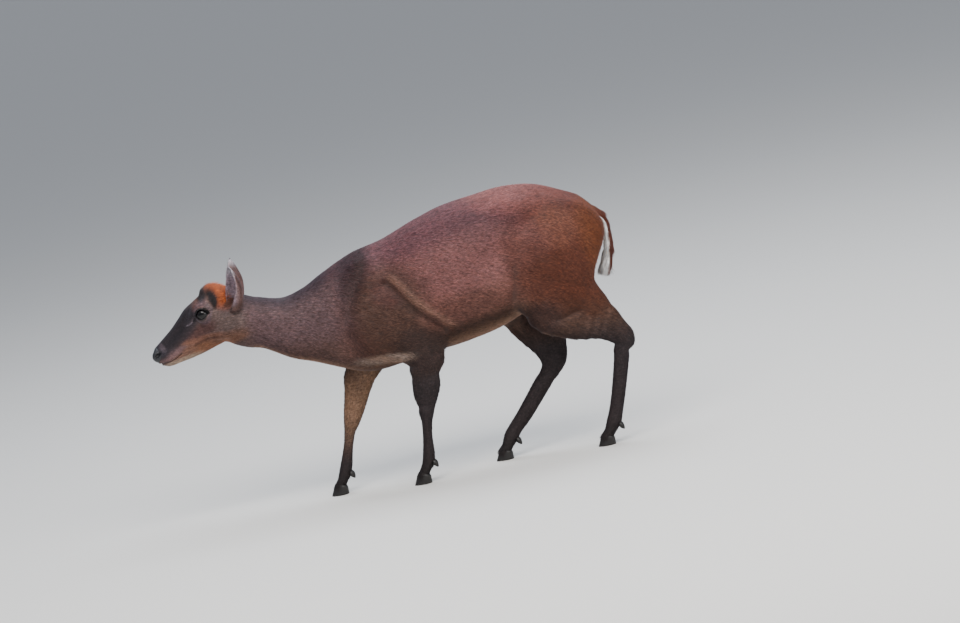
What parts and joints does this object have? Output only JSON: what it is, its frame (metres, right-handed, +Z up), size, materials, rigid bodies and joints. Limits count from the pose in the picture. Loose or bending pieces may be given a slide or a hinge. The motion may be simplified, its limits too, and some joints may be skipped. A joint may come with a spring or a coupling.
{
  "type": "muntjac doe figure",
  "caption": "Life-size still figure of an adult muntjac doe in mid-stride with head held low, standing on four cloven feet.",
  "frame": {"origin": "on the floor below the middle of the bounding box", "axes": "+Z up, the head towards -X, the left side towards -Y"},
  "size_m": [0.9824, 0.209, 0.5675],
  "materials": {
    "coat_back": "short dense hair, red brown with a purplish cast along the back",
    "coat_neck": "short hair, greyish purple brown",
    "coat_face": "very short hair, blackish on the bridge of the nose and tan on the jaw, with an orange crown",
    "coat_haunch": "short hair, warm orange brown",
    "coat_leg": "short sleek hair, blackish brown, redder on the inner side",
    "coat_tail": "long hair, dark red brown above and white beneath",
    "coat_ear": "thin hair over pale skin inside, red brown outside",
    "nose_leather": "bare, pebbled and moist, black with a bluish sheen",
    "hoof_horn": "smooth dark horn with fine growth lines",
    "eye_glass": "polished, very dark brown"
  },
  "bodies": {
    "root": {"torso": "coat_back", "neck": "coat_neck", "nose_pad": "nose_leather", "eye_left": "eye_glass", "eye_right": "eye_glass", "head": "coat_face", "fore_left_forearm": "coat_leg", "fore_left_cannon": "coat_leg", "fore_left_pastern": "coat_leg", "fore_left_hoof_inner": "hoof_horn", "fore_left_hoof_outer": "hoof_horn", "fore_left_dewclaw_inner": "hoof_horn", "fore_left_dewclaw_outer": "hoof_horn", "fore_right_forearm": "coat_leg", "fore_right_cannon": "coat_leg", "fore_right_pastern": "coat_leg", "fore_right_hoof_inner": "hoof_horn", "fore_right_hoof_outer": "hoof_horn", "fore_right_dewclaw_inner": "hoof_horn", "fore_right_dewclaw_outer": "hoof_horn", "hind_left_thigh": "coat_haunch", "hind_left_shank": "coat_leg", "hind_left_cannon": "coat_leg", "hind_left_pastern": "coat_leg", "hind_left_hoof_inner": "hoof_horn", "hind_left_hoof_outer": "hoof_horn", "hind_left_dewclaw_inner": "hoof_horn", "hind_left_dewclaw_outer": "hoof_horn", "hind_right_thigh": "coat_haunch", "hind_right_shank": "coat_leg", "hind_right_cannon": "coat_leg", "hind_right_pastern": "coat_leg", "hind_right_hoof_inner": "hoof_horn", "hind_right_hoof_outer": "hoof_horn", "hind_right_dewclaw_inner": "hoof_horn", "hind_right_dewclaw_outer": "hoof_horn", "tail": "coat_tail", "ear_left": "coat_ear", "ear_right": "coat_ear"}
  },
  "joints": []
}
